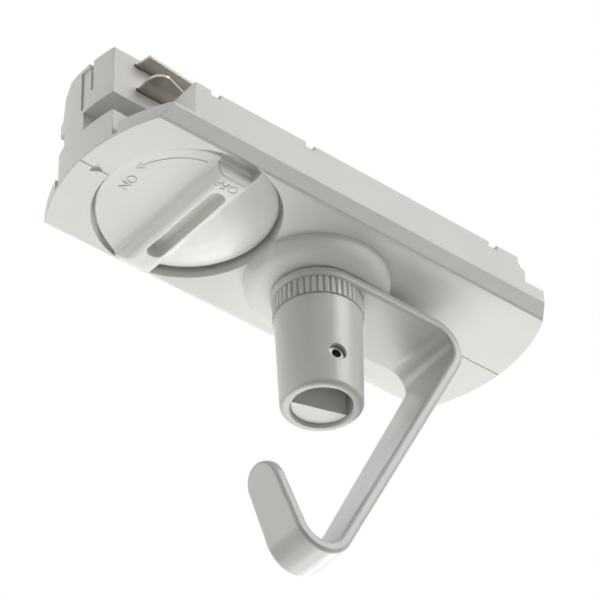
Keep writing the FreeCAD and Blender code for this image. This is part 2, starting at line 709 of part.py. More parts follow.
def makeLineContact():
    # Upper blade: a square tab of sheet metal
    body = makeBody("line_contact")
    sketch = makeSketch(body, "line_blade_outline", height="upperBladeZ")
    start, end, reach = size.upperBladeStart, size.upperBladeEnd, size.upperBladeReach
    drawOutline(sketch, [("upperBladeStart", "upperBladeTail", start, size.upperBladeTail),
                         ("upperBladeStart", "-blockHalf", start, -size.blockHalf),
                         ("upperBladeStart + upperBladeBevel", "-upperBladeReach", start + size.upperBladeBevel, -reach),
                         ("upperBladeEnd - upperBladeBevel", "upperBladeSlant - upperBladeReach",
                          end - size.upperBladeBevel, size.upperBladeSlant - reach),
                         ("upperBladeEnd", "-blockHalf", end, -size.blockHalf),
                         ("upperBladeEnd", "upperBladeTail", end, size.upperBladeTail)])
    pad(body, "line_blade", sketch, "bladeThickness")
    return body


def makeNeutralContact():
    # Lower blade: a rounded nose with a slanted edge
    body = makeBody("neutral_contact")
    sketch = makeSketch(body, "neutral_blade_outline", height="lowerBladeZ")
    start, end, reach = size.lowerBladeStart, size.lowerBladeEnd, size.lowerBladeReach
    bend, slant, root = size.lowerBladeRound, size.lowerBladeSlant, size.lowerBladeRoot
    drawOutline(sketch, [("lowerBladeStart", "lowerBladeTail", start, size.lowerBladeTail),
                         ("lowerBladeStart", "lowerBladeRound - lowerBladeReach", start, bend - reach,
                          "lowerBladeRound", bend),
                         ("lowerBladeStart + lowerBladeRound", "-lowerBladeReach", start + bend, -reach),
                         ("lowerBladeEnd", "lowerBladeSlant - lowerBladeReach", end, slant - reach),
                         ("lowerBladeEnd", "-blockHalf", end, -size.blockHalf),
                         ("lowerBladeEnd - lowerBladeRoot", "lowerBladeTail", end - root, size.lowerBladeTail)])
    pad(body, "neutral_blade", sketch, "bladeThickness")
    return body


def makeEarthContact():
    # Spring strip on the tower's far side, bowed outwards to meet the track
    body = makeBody("earth_contact")
    sketch = makeSketch(body, "earth_outline", height="earthZ")
    y = size.neckFar
    x0, x1, t, bow = size.earthStart, size.earthEnd, size.earthThickness, size.earthBow
    flat, run, tuck = size.earthFlat, size.earthRun, size.earthTuck
    drawOutline(sketch, [
        ("earthStart", "neckFar", x0, y),
        ("earthStart + earthFlat", "neckFar", x0 + flat, y),
        ("earthStart + earthFlat + earthRun", "neckFar + earthBow", x0 + flat + run, y + bow),
        ("earthEnd - earthFlat - earthRun", "neckFar + earthBow", x1 - flat - run, y + bow),
        ("earthEnd - earthFlat", "neckFar", x1 - flat, y),
        ("earthEnd", "neckFar", x1, y),
        ("earthEnd", "neckFar + earthThickness", x1, y + t),
        ("earthEnd - earthFlat + earthTuck", "neckFar + earthThickness", x1 - flat + tuck, y + t),
        ("earthEnd - earthFlat - earthRun + earthTuck", "neckFar + earthBow + earthThickness",
         x1 - flat - run + tuck, y + bow + t),
        ("earthStart + earthFlat + earthRun - earthTuck", "neckFar + earthBow + earthThickness",
         x0 + flat + run - tuck, y + bow + t),
        ("earthStart + earthFlat - earthTuck", "neckFar + earthThickness", x0 + flat - tuck, y + t),
        ("earthStart", "neckFar + earthThickness", x0, y + t)])
    pad(body, "earth_strip", sketch, "earthHeight")
    return body


def makeTerminal(name, yText):
    # Brass block with a bore for the wire and a screw from above
    block = makeBox(name + "_block", "terminalX", "terminalX + terminalLength", yText + " - terminalWidth / 2",
                    yText + " + terminalWidth / 2", "floorThickness", "floorThickness + terminalHeight")
    wire = makeRod(name + "_wire_bore", "wireBore", "0", "2 * terminalLength")
    wire.Placement = FreeCAD.Placement(FreeCAD.Vector(0, 0, 0), FreeCAD.Rotation(FreeCAD.Vector(0, 1, 0), 90))
    bind(wire, "Placement.Base.x", "terminalX - terminalLength / 2")
    bind(wire, "Placement.Base.y", yText)
    bind(wire, "Placement.Base.z", "floorThickness + wireHeight")
    screw = makeRod(name + "_screw_bore", "terminalScrewRadius + runningGap", "floorThickness + wireHeight",
                    "2 * terminalHeight + floorThickness", "terminalX + terminalLength / 2", yText)
    return cut(name, block, [wire, screw])


def makeTerminalScrews():
    # One slotted screw in each terminal
    screws = []
    top = "floorThickness + terminalHeight"
    for name, y in (("line", "-terminalPitch"), ("earth", "0"), ("neutral", "terminalPitch")):
        x = "terminalX + terminalLength / 2"
        shank = makeRod(name + "_screw_shank", "terminalScrewRadius", "floorThickness + screwFoot",
                        top + " + runningGap", x, y)
        head = makeRod(name + "_screw_head", "terminalHeadRadius", top, top + " + terminalHeadHeight", x, y)
        slot = makeBox(name + "_screw_slot", x + " - 2 * terminalHeadRadius", x + " + 2 * terminalHeadRadius",
                       y + " - screwSlotHalf", y + " + screwSlotHalf",
                       top + " + terminalHeadHeight - screwSlotDepth", top + " + terminalHeight")
        screws.append(cut(name + "_screw", fuse(name + "_screw_solid", [shank, head]), [slot]))
    group = doc.addObject("Part::Compound", "terminal_screws")
    group.Links = screws
    return group


def makeCoverScrews():
    # Two countersunk screws that hold the cover
    screws = []
    top = "railHeight + coverThickness"
    for side, sign in (("near", "-"), ("far", "")):
        y = sign + "postY"
        head = makeRod("cover_screw_head_" + side, "screwHeadRadius", top + " - screwHeadHeight", top, "postX", y)
        shank = makeRod("cover_screw_shank_" + side, "screwRadius - runningGap", top + " - screwLength",
                        top + " - screwHeadHeight / 2", "postX", y)
        cross = makeBox("cover_screw_cross_" + side, "postX - crossReach", "postX + crossReach",
                        y + " - crossHalf", y + " + crossHalf", top + " - crossDepth", top + " + crossDepth")
        bar = makeBox("cover_screw_bar_" + side, "postX - crossHalf", "postX + crossHalf",
                      y + " - crossReach", y + " + crossReach", top + " - crossDepth", top + " + crossDepth")
        screws.append(cut("cover_screw_" + side, fuse("cover_screw_solid_" + side, [head, shank]), [cross, bar]))
    group = doc.addObject("Part::Compound", "cover_screws")
    group.Links = screws
    return group


def makeNipple():
    tube = makeRod("nipple_tube", "nippleRadius", "nippleBottom", "nippleTop")
    bore = makeRod("nipple_bore", "nippleBore", "2 * nippleBottom", "2 * nippleTop")
    return cut("threaded_nipple", tube, [bore])


def makeNippleWasher():
    ring = makeRod("washer_disc", "washerRadius", "seatHeight", "seatHeight + washerThickness")
    bore = makeRod("washer_bore", "nippleRadius + runningGap", "0", "nippleTop")
    return cut("nipple_washer", ring, [bore])


def makeNippleNut():
    body = makeBody("nipple_nut")
    sketch = makeSketch(body, "nut_outline", height="seatHeight + washerThickness")
    corner = size.lockNutFlats / math.sqrt(3)
    corners = []
    for i in range(6):
        angle = math.radians(60 * i)
        xText = "lockNutFlats / sqrt(3) * (%.6f)" % math.cos(angle)
        yText = "lockNutFlats / sqrt(3) * (%.6f)" % math.sin(angle)
        if abs(math.sin(angle)) < 1e-9:
            yText = "0"
        corners.append((xText, yText, corner * math.cos(angle), corner * math.sin(angle)))
    drawOutline(sketch, corners)
    drawCircle(sketch, "nippleRadius + runningGap", size.nippleRadius + size.runningGap)
    pad(body, "nut_pad", sketch, "lockNutHeight")
    return body


def makeDetentSpring():
    # Leaf spring that presses on the cam beside the dial's shaft
    x0 = "dialX + camRadius + camGap"
    z0 = "dishHeight + camGap"
    return makeBox("detent_spring", x0, x0 + " + leafThickness", "-leafHalf", "leafHalf", z0, z0 + " + leafHeight")


def makeDialKnob():
    # Dial with a domed half, a scooped half and a grip bar between them
    body = makeBody("dial_knob")
    radius, crest, rim, back = dialRadius, size.dialCrest, size.dialRimZ, size.dialBack
    # Bar across the dial, with a rounded far end that stands over the gap round the dial
    bar = makeSketch(body, "bar_outline", height="dialBack")
    end = dialRadius + size.barOverhang
    endText = "(" + dialText + " + barOverhang)"
    leftY = math.sqrt(end ** 2 - size.barFoot ** 2)
    rightY = math.sqrt(end ** 2 - size.barFar ** 2)
    leftText = "sqrt(" + endText + " * " + endText + " - barFoot * barFoot)"
    rightText = "sqrt(" + endText + " * " + endText + " - barFar * barFar)"
    drawOutline(bar, [("barFoot", "-barCut", size.barFoot, -size.barCut),
                      ("barFar", "-barCut", size.barFar, -size.barCut),
                      ("barFar", rightText, size.barFar, rightY, endText, end),
                      ("barFoot", leftText, size.barFoot, leftY)])
    pad(body, "bar_pad", bar, "dialBack + dialCrest", reverse=True)
    slant = makeSketch(body, "bar_slant_outline", "XZ_Plane")
    drawOutline(slant, [("barTop", "-dialCrest", size.barTop, -crest),
                        ("barTop", "-2 * dialCrest", size.barTop, -2 * crest),
                        ("2 * barFar", "-2 * dialCrest", 2 * size.barFar, -2 * crest),
                        ("2 * barFar", "dialRimZ", 2 * size.barFar, rim),
                        ("barFar", "dialRimZ", size.barFar, rim)])
    pocket(body, "bar_slant", slant, "4 * " + dialText, middle=True)
    # Half of the dial that slopes up to the rim
    half = makeSketch(body, "slope_outline", height="dialBack")
    footY = math.sqrt(radius ** 2 - size.barFoot ** 2)
    footYText = "sqrt(" + dialText + " * " + dialText + " - barFoot * barFoot)"
    drawOutline(half, [("barFoot", footYText, size.barFoot, footY, dialText, radius),
                       ("barFoot", "-" + footYText, size.barFoot, -footY)])
    pad(body, "slope_pad", half, "dialBack + dialCrest", reverse=True)
    scoop = makeSketch(body, "scoop_outline", "XZ_Plane")
    foot = -crest + size.barFootDepth
    footText = "barFootDepth - dialCrest"
    over = 2 * radius
    overText = "-2 * " + dialText
    fall = rim + size.scoopDrop
    slope = (fall - foot) / (radius + size.barFoot)
    slopeText = "((dialRimZ + scoopDrop - barFootDepth + dialCrest) / (" + dialText + " + barFoot))"
    drawOutline(scoop, [("barNear", "-dialCrest", size.barNear, -crest),
                        ("barFoot", footText, size.barFoot, foot),
                        (overText, footText + " + " + slopeText + " * (barFoot + 2 * " + dialText + ")",
                         -over, foot + slope * (size.barFoot + over)),
                        (overText, "-3 * dialCrest", -over, -3 * crest),
                        ("barNear", "-3 * dialCrest", size.barNear, -3 * crest)])
    pocket(body, "scoop", scoop, "4 * " + dialText, middle=True)
    # Domed half
    profile = makeSketch(body, "dial_profile", "YZ_Plane")
    rise = crest + rim
    dome = (radius ** 2 + rise ** 2) / (2 * rise)
    riseText = "(dialCrest + dialRimZ)"
    domeText = "(" + dialText + " * " + dialText + " + " + riseText + " * " + riseText + ") / (2 * " + riseText + ")"
    drawOutline(profile, [("0", "-dialCrest", 0.0, -crest, domeText, dome),
                          (dialText, "dialRimZ", radius, rim),
                          (dialText, "dialBack", radius, back),
                          ("0", "dialBack", 0.0, back)])
    turn = body.newObject("PartDesign::Revolution", "dial_dome")
    turn.Profile = profile
    turn.ReferenceAxis = (profile, ["V_Axis"])
    turn.Angle = 180
    turn.Reversed = True
    # Bar cut back at its near end
    step = makeSketch(body, "bar_cut_outline", height="-2 * dialCrest")
    drawOutline(step, rectangle("barNear", "barFar", overText, "-barCut", size.barNear, size.barFar,
                                -over, -size.barCut))
    pocket(body, "bar_cut", step, "2 * dialCrest + barCutFloor", reverse=True)
    # Coin slot along the bar
    slot = makeSketch(body, "coin_slot_outline", height="-2 * dialCrest")
    half = size.slotLength / 2 - size.slotWidth / 2
    w = size.slotWidth / 2
    halfText = "(slotLength / 2 - slotWidth / 2)"
    drawOutline(slot, [("slotWidth / 2", "-" + halfText, w, -half),
                       ("slotWidth / 2", halfText, w, half, "slotWidth / 2", w),
                       ("-slotWidth / 2", halfText, -w, half),
                       ("-slotWidth / 2", "-" + halfText, -w, -half, "slotWidth / 2", w)])
    pocket(body, "coin_slot", slot, "slotDepth + dialCrest", reverse=True)
    # Socket for the shaft in the back
    socket = makeSketch(body, "socket_outline", height="dialBack")
    drawCircle(socket, "shaftRadius", size.shaftRadius)
    pocket(body, "socket", socket, "shaftSocket")
    bind(body, "Placement.Base.x", "dialX")
    return body


def makeCamShaft():
    # Shaft from the dial up through the cover, with a cam disc and an eccentric peg
    camFoot = "dishHeight + camGap"
    camTop = camFoot + " + camHeight"
    stem = makeRod("shaft_stem", "shaftRadius", "dialBack - shaftSocket", camFoot + " + camHeight / 2", "dialX", "0")
    cam = makeRod("shaft_cam", "camRadius", camFoot, camTop, "dialX", "0")
    neck = makeRod("shaft_neck", "shaftNeckRadius", camFoot, "tongueZ", "dialX", "0")
    end = makeRod("shaft_end", "shaftEndRadius", "tongueZ - camHeight", "tongueZ + tongueThickness", "dialX", "0")
    peg = makeRod("shaft_peg", "pegRadius", camFoot, camTop + " + armGap + armHeight", "dialX - slideTravel / 2",
                  "-slideTravel / 2")
    joined = fuse("shaft_solid", [stem, cam, neck, end, peg])
    bore = makeRod("shaft_screw_bore", "screwRadius", "tongueZ - shaftScrewDepth", "towerTop", "dialX", "0")
    flat = makeBox("cam_flat", "dialX + camRadius - camFlat", "dialX + 2 * camRadius", "-camRadius", "camRadius",
                   camFoot + " - camGap", camTop)
    return cut("cam_shaft", joined, [bore, flat])


def makeLockTongue():
    # Tongue that turns over the track's lip
    top = "tongueZ + tongueThickness"
    hub = makeRod("tongue_hub", "tongueHub", "tongueZ", top, "dialX", "0")
    wing = makeBox("tongue_wing", "dialX - tongueHalf", "dialX + tongueHalf", "0", "tongueReach - tongueHalf",
                   "tongueZ", top)
    nose = makeRod("tongue_nose", "tongueHalf", "tongueZ", top, "dialX", "tongueReach - tongueHalf")
    bore = makeRod("tongue_bore", "shaftEndRadius", "tongueZ / 2", "towerTop", "dialX", "0")
    return cut("lock_tongue", fuse("tongue_solid", [hub, wing, nose]), [bore])


def makeShaftScrew():
    top = "tongueZ + tongueThickness"
    head = makeRod("shaft_screw_head", "shaftHeadRadius", top, top + " + screwHeadHeight", "dialX", "0")
    shank = makeRod("shaft_screw_shank", "screwRadius - runningGap", "tongueZ - shaftScrewDepth + slideGap", top + " + screwHeadHeight / 2",
                    "dialX", "0")
    slot = makeBox("shaft_screw_slot", "dialX - 2 * shaftHeadRadius", "dialX + 2 * shaftHeadRadius",
                   "-shaftSlotHalf", "shaftSlotHalf", top + " + screwHeadHeight - screwSlotDepth", "towerTop")
    return cut("shaft_screw", fuse("shaft_screw_solid", [head, shank]), [slot])


def hookPath(startReach, endReach):
    # Middle line of the bent strip in the hook's own plane, from the eye to the tip
    z = -size.bossHeight - size.runningGap - size.stripThickness / 2
    leg = math.radians(size.legAngle)
    tip = math.radians(size.tipAngle)
    start = FreeCAD.Vector(startReach, 0, z)
    corner = FreeCAD.Vector(size.armLength, 0, z)
    bend = corner - FreeCAD.Vector(0, 0, size.bendRadius)
    down = FreeCAD.Vector(-math.cos(leg), 0, -math.sin(leg))
    inside = FreeCAD.Vector(-math.sin(leg), 0, math.cos(leg))
    legTop = bend - inside * size.bendRadius
    half = (math.pi - leg) / 2
    bendMiddle = bend + FreeCAD.Vector(math.sin(half), 0, math.cos(half)) * size.bendRadius
    legFoot = legTop + down * size.legLength
    heel = legFoot + inside * size.heelRadius
    up = FreeCAD.Vector(-math.cos(tip), 0, math.sin(tip))
    inner = FreeCAD.Vector(math.sin(tip), 0, math.cos(tip))
    tipFoot = heel - inner * size.heelRadius
    heelMiddle = heel - (inside + inner).normalize() * size.heelRadius
    tipCentre = tipFoot + up * size.tipLength
    end = tipCentre + up * endReach
    edges = [Part.makeLine(start, corner), Part.Arc(corner, bendMiddle, legTop).toShape(),
             Part.makeLine(legTop, legFoot), Part.Arc(legFoot, heelMiddle, tipFoot).toShape(),
             Part.makeLine(tipFoot, end)]
    return Part.Wire(edges), start, end, tipCentre, inner


def stripSection(centre, normal, reach, slope):
    # Cross-section of the strip with bevelled corners
    half = size.stripThickness / 2
    bevel = size.stripBevel
    inset = bevel / math.cos(slope)
    across = FreeCAD.Vector(0, 1, 0)
    wide = reach * math.cos(slope)
    corners = [(inset - wide, -half), (wide - inset, -half), (wide, bevel - half), (wide, half - bevel),
               (wide - inset, half), (inset - wide, half), (-wide, half - bevel), (-wide, bevel - half)]
    points = [centre + across * u + normal * v for u, v in corners]
    return Part.makePolygon(points + points[:1])


def bevelledDisc(radius, centre, axis):
    disc = Part.makeCylinder(radius, size.stripThickness, centre - axis * (size.stripThickness / 2), axis)
    rims = [edge for edge in disc.Edges if isinstance(edge.Curve, Part.Circle)]
    return disc.makeChamfer(size.stripBevel, rims)


def makeHook():
    # Strip hook: an eye round the nipple, then a strip that narrows evenly to a rounded tip
    upright = FreeCAD.Vector(0, 0, 1)
    length = hookPath(0, 0)[0].Length
    slope = math.asin((size.eyeRadius - size.tipRadius) / length)
    eyeReach = size.eyeRadius * math.sin(slope)
    tipReach = size.tipRadius * math.sin(slope)
    path, start, end, tipCentre, inner = hookPath(eyeReach, tipReach)
    shell = Part.BRepOffsetAPI.MakePipeShell(path)
    shell.setBiNormalMode(FreeCAD.Vector(0, 1, 0))
    shell.add(stripSection(start, -upright, size.eyeRadius, slope))
    shell.add(stripSection(end, inner, size.tipRadius, slope))
    shell.build()
    shell.makeSolid()
    eye = bevelledDisc(size.eyeRadius, FreeCAD.Vector(0, 0, start.z), upright)
    tip = bevelledDisc(size.tipRadius, tipCentre, inner)
    whole = shell.shape().fuse([eye, tip]).removeSplitter()
    bore = Part.makeCylinder(size.nippleRadius + size.runningGap, 4 * size.stripThickness,
                             FreeCAD.Vector(0, 0, start.z - 2 * size.stripThickness))
    feature = doc.addObject("Part::Feature", "hook")
    feature.Shape = whole.cut(bore)
    feature.Placement = FreeCAD.Placement(FreeCAD.Vector(0, 0, 0), FreeCAD.Rotation(upright, size.hookTurn))
    return feature


nutTop = -(size.bossHeight + 2 * size.runningGap + size.stripThickness)
nutTopText = "-(bossHeight + 2 * runningGap + stripThickness)"
gripTop = nutTop - size.nutHeight - size.runningGap
gripTopText = "(" + nutTopText + " - nutHeight - runningGap)"
gripEnd = gripTop - size.gripLength
gripEndText = "(" + gripTopText + " - gripLength)"


def makeKnurledNut():
    body = makeBody("knurled_nut")
    sketch = makeSketch(body, "nut_disc_outline", height=nutTopText)
    drawCircle(sketch, "nutRadius", size.nutRadius)
    drawCircle(sketch, "nippleRadius + runningGap", size.nippleRadius + size.runningGap)
    pad(body, "nut_disc", sketch, "nutHeight", reverse=True)
    groove = makeSketch(body, "knurl_outline", height=nutTopText)
    drawOutline(groove, [("nutRadius - knurlDepth", "0", size.nutRadius - size.knurlDepth, 0.0),
                         ("nutRadius + knurlDepth", "-knurlWidth", size.nutRadius + size.knurlDepth,
                          -size.knurlWidth),
                         ("nutRadius + knurlDepth", "knurlWidth", size.nutRadius + size.knurlDepth,
                          size.knurlWidth)])
    knurl = pocket(body, "knurl", groove, "2 * nutHeight", middle=True)
    doc.recompute()
    pattern = body.newObject("PartDesign::PolarPattern", "knurl_pattern")
    pattern.Originals = [knurl]
    pattern.Axis = (groove, ["N_Axis"])
    pattern.Angle = 360
    bind(pattern, "Occurrences", "knurlCount")
    body.Tip = pattern
    return body


def makeCordGrip():
    # Tapered sleeve on the nipple, with a rounded mouth and a threaded hole for the clamp screw
    body = makeBody("grip_sleeve_body")
    profile = makeSketch(body, "grip_profile", "XZ_Plane")
    bore = size.nippleRadius + size.runningGap
    boreText = "nippleRadius + runningGap"
    mouth = size.gripRound
    drawOutline(profile, [(boreText, gripTopText, bore, gripTop),
                          (boreText, gripEndText + " + gripMouthBevel", bore, gripEnd + size.gripMouthBevel),
                          (boreText + " + gripMouthBevel", gripEndText, bore + size.gripMouthBevel, gripEnd),
                          ("gripBottomRadius - gripRound", gripEndText, size.gripBottomRadius - mouth, gripEnd,
                           "gripRound", mouth),
                          ("gripBottomRadius", gripEndText + " + gripRound", size.gripBottomRadius,
                           gripEnd + mouth),
                          ("gripTopRadius", gripTopText, size.gripTopRadius, gripTop)])
    turn = body.newObject("PartDesign::Revolution", "grip_sleeve")
    turn.Profile = profile
    turn.ReferenceAxis = (profile, ["V_Axis"])
    turn.Angle = 360
    return cut("cord_grip", body, [clampBore()])


def clampDirection():
    angle = math.radians(size.clampScrewAngle)
    return FreeCAD.Vector(math.cos(angle), math.sin(angle), 0)


def clampRod(name, radiusText, start, lengthText):
    # A rod along the clamp screw's axis, from a given distance out of the grip's axis
    solid = doc.addObject("Part::Cylinder", name)
    bind(solid, "Radius", radiusText)
    bind(solid, "Height", lengthText)
    way = clampDirection()
    base = way * start + FreeCAD.Vector(0, 0, gripTop - size.clampScrewDrop)
    solid.Placement = FreeCAD.Placement(base, FreeCAD.Rotation(FreeCAD.Vector(0, 0, 1), way))
    return solid


def clampBore():
    return clampRod("clamp_bore", "clampScrewRadius + runningGap", 0.0, "2 * gripTopRadius")


def makeClampScrew():
    rod = clampRod("clamp_screw_rod", "clampScrewRadius", size.clampScrewTip, "clampScrewEnd - clampScrewTip")
    socket = clampRod("clamp_screw_socket", "clampSocketRadius", size.clampScrewEnd - size.clampSocketDepth,
                      "2 * clampSocketDepth")
    return cut("grub_screw", rod, [socket])


def makeClampJaw():
    # Half-moon insert that the screw presses the cord against
    rod = makeRod("jaw_rod", "nippleRadius", gripEndText + " + jawRecess", "jawTop")
    block = doc.addObject("Part::Box", "jaw_away")
    bind(block, "Length", "4 * nippleRadius")
    bind(block, "Width", "4 * nippleRadius")
    bind(block, "Height", "4 * gripLength")
    turn = FreeCAD.Rotation(FreeCAD.Vector(0, 0, 1), size.clampScrewAngle)
    corner = turn.multVec(FreeCAD.Vector(-size.jawFlat, -2 * size.nippleRadius, 0))
    block.Placement = FreeCAD.Placement(corner + FreeCAD.Vector(0, 0, gripEnd - size.gripLength), turn)
    return cut("clamp_jaw", rod, [block])


nodes = {
    "base_shell": makeBaseShell(),
    "top_cover": makeTopCover(),
    "contact_tower": makeContactTower(),
    "contact_slide": makeContactSlide(),
    "line_contact": makeLineContact(),
    "neutral_contact": makeNeutralContact(),
    "earth_contact": makeEarthContact(),
    "line_terminal": makeTerminal("line_terminal", "-terminalPitch"),
    "earth_terminal": makeTerminal("earth_terminal", "0"),
    "neutral_terminal": makeTerminal("neutral_terminal", "terminalPitch"),
    "terminal_screws": makeTerminalScrews(),
    "cover_screws": makeCoverScrews(),
    "threaded_nipple": makeNipple(),
    "nipple_washer": makeNippleWasher(),
    "nipple_nut": makeNippleNut(),
    "detent_spring": makeDetentSpring(),
    "dial_knob": makeDialKnob(),
    "cam_shaft": makeCamShaft(),
    "lock_tongue": makeLockTongue(),
    "shaft_screw": makeShaftScrew(),
    "hook": makeHook(),
    "knurled_nut": makeKnurledNut(),
    "cord_grip": makeCordGrip(),
    "clamp_jaw": makeClampJaw(),
    "grub_screw": makeClampScrew(),
}

doc.recompute()
faults = []
for item in doc.Objects:
    if "Invalid" in item.State or "Error" in item.State:
        faults.append("%s: %s" % (item.Name, item.State))
for name, item in nodes.items():
    if item.Label != name:
        faults.append("%s is labelled %s" % (name, item.Label))
    if item.Shape.isNull() or not item.Shape.isValid():
        faults.append("%s has no valid shape" % name)
if faults:
    raise RuntimeError("; ".join(faults))

os.makedirs("parts", exist_ok=True)
for name, item in nodes.items():
    item.Shape.exportStep("parts/%s.step" % name)
    print("%-18s solids %d volume %.1f" % (name, len(item.Shape.Solids), item.Shape.Volume))
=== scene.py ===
import json
import math

import bpy
from mathutils import Matrix, Vector


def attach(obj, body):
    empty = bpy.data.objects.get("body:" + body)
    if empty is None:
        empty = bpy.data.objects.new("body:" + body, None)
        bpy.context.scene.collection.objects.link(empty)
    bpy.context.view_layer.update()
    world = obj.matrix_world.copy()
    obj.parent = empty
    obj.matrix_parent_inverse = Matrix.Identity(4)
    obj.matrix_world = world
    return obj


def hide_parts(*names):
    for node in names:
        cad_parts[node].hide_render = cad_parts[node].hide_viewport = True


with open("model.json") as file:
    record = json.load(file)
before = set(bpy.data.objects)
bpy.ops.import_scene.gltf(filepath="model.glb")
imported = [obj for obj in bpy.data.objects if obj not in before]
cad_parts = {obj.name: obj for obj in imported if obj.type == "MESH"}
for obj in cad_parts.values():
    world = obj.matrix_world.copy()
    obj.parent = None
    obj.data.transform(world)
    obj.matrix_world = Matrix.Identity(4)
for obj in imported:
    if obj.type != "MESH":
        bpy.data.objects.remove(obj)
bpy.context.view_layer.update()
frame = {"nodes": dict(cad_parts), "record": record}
print("frame loaded:", len(frame["nodes"]), "nodes")

mm = 0.001
mergeGap = 0.002 * mm  # corners closer than this are one corner

# shader maths: a socket that can be written in plain expressions


class Wire:
    def __init__(self, tree, socket):
        self.tree = tree
        self.socket = socket

    def node(self, kind, settings=None, inputs=None, output=0):
        made = self.tree.nodes.new(kind)
        for name, value in (settings or {}).items():
            if name == "stops":
                setStops(made.color_ramp, value)
            else:
                setattr(made, name, value)
        for key, value in (inputs or {}).items():
            if isinstance(value, Wire):
                self.tree.links.new(value.socket, made.inputs[key])
            else:
                made.inputs[key].default_value = value
        return Wire(self.tree, made.outputs[output])

    def maths(self, operation, first, second):
        return self.node("ShaderNodeMath", {"operation": operation}, {0: first, 1: second})

    def __add__(self, other):
        return self.maths("ADD", self, other)

    def __radd__(self, other):
        return self.maths("ADD", other, self)

    def __sub__(self, other):
        return self.maths("SUBTRACT", self, other)

    def __rsub__(self, other):
        return self.maths("SUBTRACT", other, self)

    def __mul__(self, other):
        return self.maths("MULTIPLY", self, other)

    def __rmul__(self, other):
        return self.maths("MULTIPLY", other, self)


def setStops(ramp, stops):
    while len(ramp.elements) > len(stops):
        ramp.elements.remove(ramp.elements[-1])
    while len(ramp.elements) < len(stops):
        ramp.elements.new(1.0)
    for element, (place, grey) in zip(ramp.elements, stops):
        element.position = place
        element.color = (grey, grey, grey, 1.0)


# finishes: edge is the radius in mm that every edge is rounded to in the shading

finishes = {
    "housing_plastic": {
        "colour": (0.800, 0.790, 0.755), "worn": (0.770, 0.758, 0.720), "rough": 0.52, "spread": 0.05,
        "grain": 0.16, "grainSize": 2600.0, "metal": 0.0, "coat": 0.0, "edge": 0.22},
    "dial_plastic": {
        "colour": (0.805, 0.795, 0.760), "worn": (0.780, 0.768, 0.730), "rough": 0.40, "spread": 0.06,
        "grain": 0.07, "grainSize": 2100.0, "metal": 0.0, "coat": 0.0, "edge": 0.12},
    "satin_paint": {
        "colour": (0.600, 0.592, 0.568), "worn": (0.580, 0.572, 0.548), "rough": 0.30, "spread": 0.04,
        "grain": 0.03, "grainSize": 1500.0, "metal": 0.0, "coat": 0.12, "edge": 0.28},
    "contact_metal": {
        "colour": (0.520, 0.495, 0.455), "worn": (0.400, 0.375, 0.340), "rough": 0.24, "spread": 0.12,
        "grain": 0.05, "grainSize": 900.0, "metal": 1.0, "coat": 0.0, "edge": 0.08},
    "brass": {
        "colour": (0.720, 0.540, 0.250), "worn": (0.600, 0.430, 0.190), "rough": 0.32, "spread": 0.08,
        "grain": 0.05, "grainSize": 900.0, "metal": 1.0, "coat": 0.0, "edge": 0.05},
    "zinc_steel": {
        "colour": (0.260, 0.258, 0.250), "worn": (0.200, 0.198, 0.192), "rough": 0.42, "spread": 0.08,
        "grain": 0.06, "grainSize": 900.0, "metal": 1.0, "coat": 0.0, "edge": 0.06},
}

surface = {
    "driftSize": 55.0,
    "driftStops": [(0.35, 0.0), (0.70, 1.0)],
    "bumpHeight": 0.06,
    "edgeSamples": 6,
    "coatRough": 0.22,
}


def makeFinish(name, look):
    material = bpy.data.materials.new(name)
    material.use_nodes = True
    tree = material.node_tree
    shader = tree.nodes["Principled BSDF"]
    start = Wire(tree, None)
    place = start.node("ShaderNodeTexCoord", output="Object")

    def noise(size, detail):
        return start.node("ShaderNodeTexNoise", inputs={"Vector": place, "Scale": size, "Detail": detail})

    drift = noise(surface["driftSize"], 3.0)
    fine = noise(look["grainSize"], 2.0)
    patch = start.node("ShaderNodeValToRGB", {"stops": surface["driftStops"]}, {"Fac": drift})
    # a colour mix takes its factor from socket 0 and its two colours from sockets 6 and 7
    colour = start.node("ShaderNodeMix", {"data_type": "RGBA"},
                        {0: patch, 6: (*look["colour"], 1.0), 7: (*look["worn"], 1.0)}, output=2)
    rough = look["rough"] + (drift - 0.5) * look["spread"] + (fine - 0.5) * look["spread"]
    edge = start.node("ShaderNodeBevel", {"samples": surface["edgeSamples"]}, {"Radius": look["edge"] * mm})
    bump = start.node("ShaderNodeBump", inputs={
        "Strength": look["grain"], "Distance": surface["bumpHeight"] * mm, "Height": fine, "Normal": edge})
    tree.links.new(colour.socket, shader.inputs["Base Color"])
    tree.links.new(rough.socket, shader.inputs["Roughness"])
    tree.links.new(bump.socket, shader.inputs["Normal"])
    shader.inputs["Metallic"].default_value = look["metal"]
    shader.inputs["Coat Weight"].default_value = look["coat"]
    shader.inputs["Coat Roughness"].default_value = surface["coatRough"]
    return material


materials = {name: makeFinish(name, look) for name, look in finishes.items()}

for part in frame["record"]["subparts"]:
    solid = frame["nodes"][part["node"]]
    solid.data.materials.clear()
    solid.data.materials.append(materials[part["material_slot"]])
print("finishes made and put on the frame's nodes")


# selecting, and finishing a piece

def nothingSelected():
    if bpy.context.object and bpy.context.object.mode != "OBJECT":
        bpy.ops.object.mode_set(mode="OBJECT")
    bpy.ops.object.select_all(action="DESELECT")


def selectOnly(piece):
    nothingSelected()
    piece.select_set(True)
    bpy.context.view_layer.objects.active = piece


